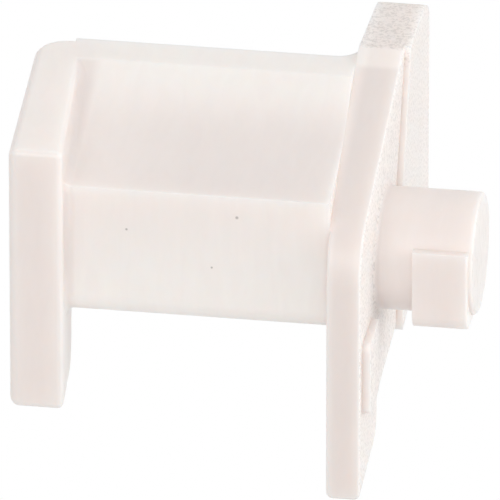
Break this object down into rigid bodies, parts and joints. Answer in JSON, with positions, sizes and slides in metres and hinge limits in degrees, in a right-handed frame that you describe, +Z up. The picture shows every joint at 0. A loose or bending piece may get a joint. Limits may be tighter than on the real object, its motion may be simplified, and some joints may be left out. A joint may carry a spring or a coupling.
{
  "type": "shelf clip",
  "caption": "Moulded nylon shelf clip: a hollowed cradle between two downward flanges, with a round peg and cam lip that holds it in a drilled panel.",
  "frame": {"origin": "on the peg's axis, at the plane where the clip bears on the panel", "axes": "+X along the peg into the panel, +Y to the clip's back, +Z up"},
  "size_m": [0.0239, 0.021, 0.0192],
  "materials": {
    "natural_nylon": "milky translucent, satin with fine moulded grain"
  },
  "bodies": {
    "root": {"shelf_clip": "natural_nylon"}
  },
  "joints": []
}
